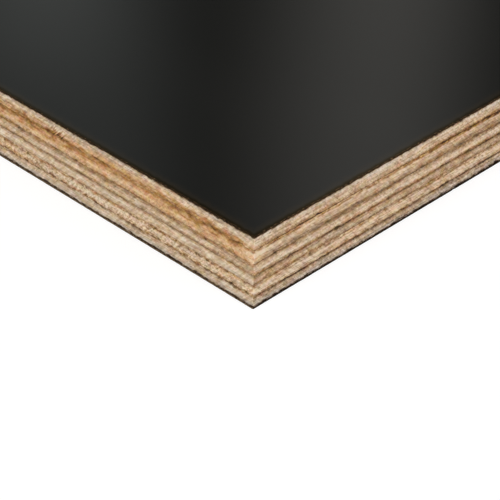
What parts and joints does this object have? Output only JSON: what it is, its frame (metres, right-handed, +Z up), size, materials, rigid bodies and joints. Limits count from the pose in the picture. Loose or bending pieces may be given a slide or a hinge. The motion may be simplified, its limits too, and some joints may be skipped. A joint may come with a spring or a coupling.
{
  "type": "film-faced plywood sheet",
  "caption": "Flat rectangular plywood sheet with bonded wood veneers, a smooth black resin film on both faces and bare sawn edges.",
  "frame": {"origin": "middle of the underside, on which the sheet lies", "axes": "+X along the sheet's length and its face grain, +Y across its width, +Z up through its thickness"},
  "size_m": [2.44, 1.22, 0.018],
  "materials": {
    "film": "satin",
    "long_grain_veneer": "matte",
    "cross_grain_veneer": "matte"
  },
  "bodies": {
    "root": {"top_film": "film", "face_veneer": "long_grain_veneer", "crossband_upper": "cross_grain_veneer", "core_veneer_upper": "long_grain_veneer", "core_veneer_lower": "long_grain_veneer", "crossband_lower": "cross_grain_veneer", "back_veneer": "long_grain_veneer", "bottom_film": "film"}
  },
  "joints": []
}
